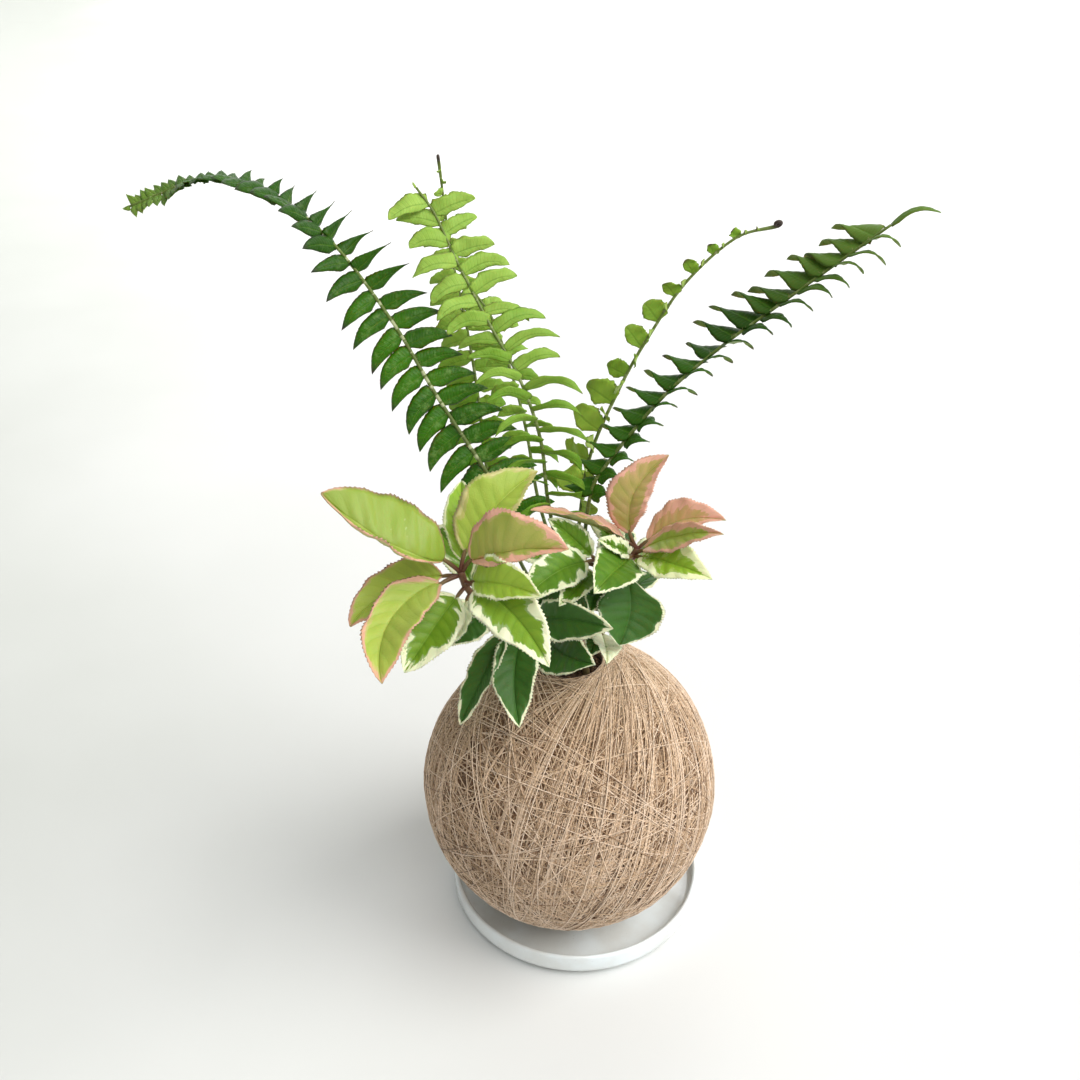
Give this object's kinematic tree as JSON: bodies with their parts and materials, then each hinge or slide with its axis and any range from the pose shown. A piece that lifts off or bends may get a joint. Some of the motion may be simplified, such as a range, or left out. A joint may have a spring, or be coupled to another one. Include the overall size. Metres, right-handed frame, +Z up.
{
  "type": "moss ball plant",
  "caption": "Thread-wound round ball of soil on a round dish, planted with feathery arching fronds and stems of broad saw-edged leaves.",
  "frame": {"origin": "centre of the saucer's flat underside", "axes": "+Z up, -Y towards the viewer, +X to the viewer's right; the longest frond reaches towards -X and back"},
  "size_m": [0.3121, 0.1753, 0.3307],
  "materials": {
    "saucer": "smooth white glaze",
    "soil": "rough, crumbly",
    "thread": "dry, fibrous",
    "dark_fern": "waxy, satin",
    "light_fern": "thin, soft satin",
    "young_fern": "thin, soft satin",
    "young_leaf": "satin, quilted",
    "variegated_leaf": "satin, cream and pink margins"
  },
  "bodies": {
    "root": {"saucer": "saucer", "root_ball": "soil", "thread_wrap": "thread", "fern_frond_long_left": "dark_fern", "fern_frond_light_front": "light_fern", "fern_frond_light_middle": "light_fern", "fern_frond_light_back": "light_fern", "fern_frond_young_right": "young_fern", "fern_frond_dark_right": "dark_fern", "leafy_stem_left": "young_leaf", "leafy_stem_right": "variegated_leaf"}
  },
  "joints": []
}
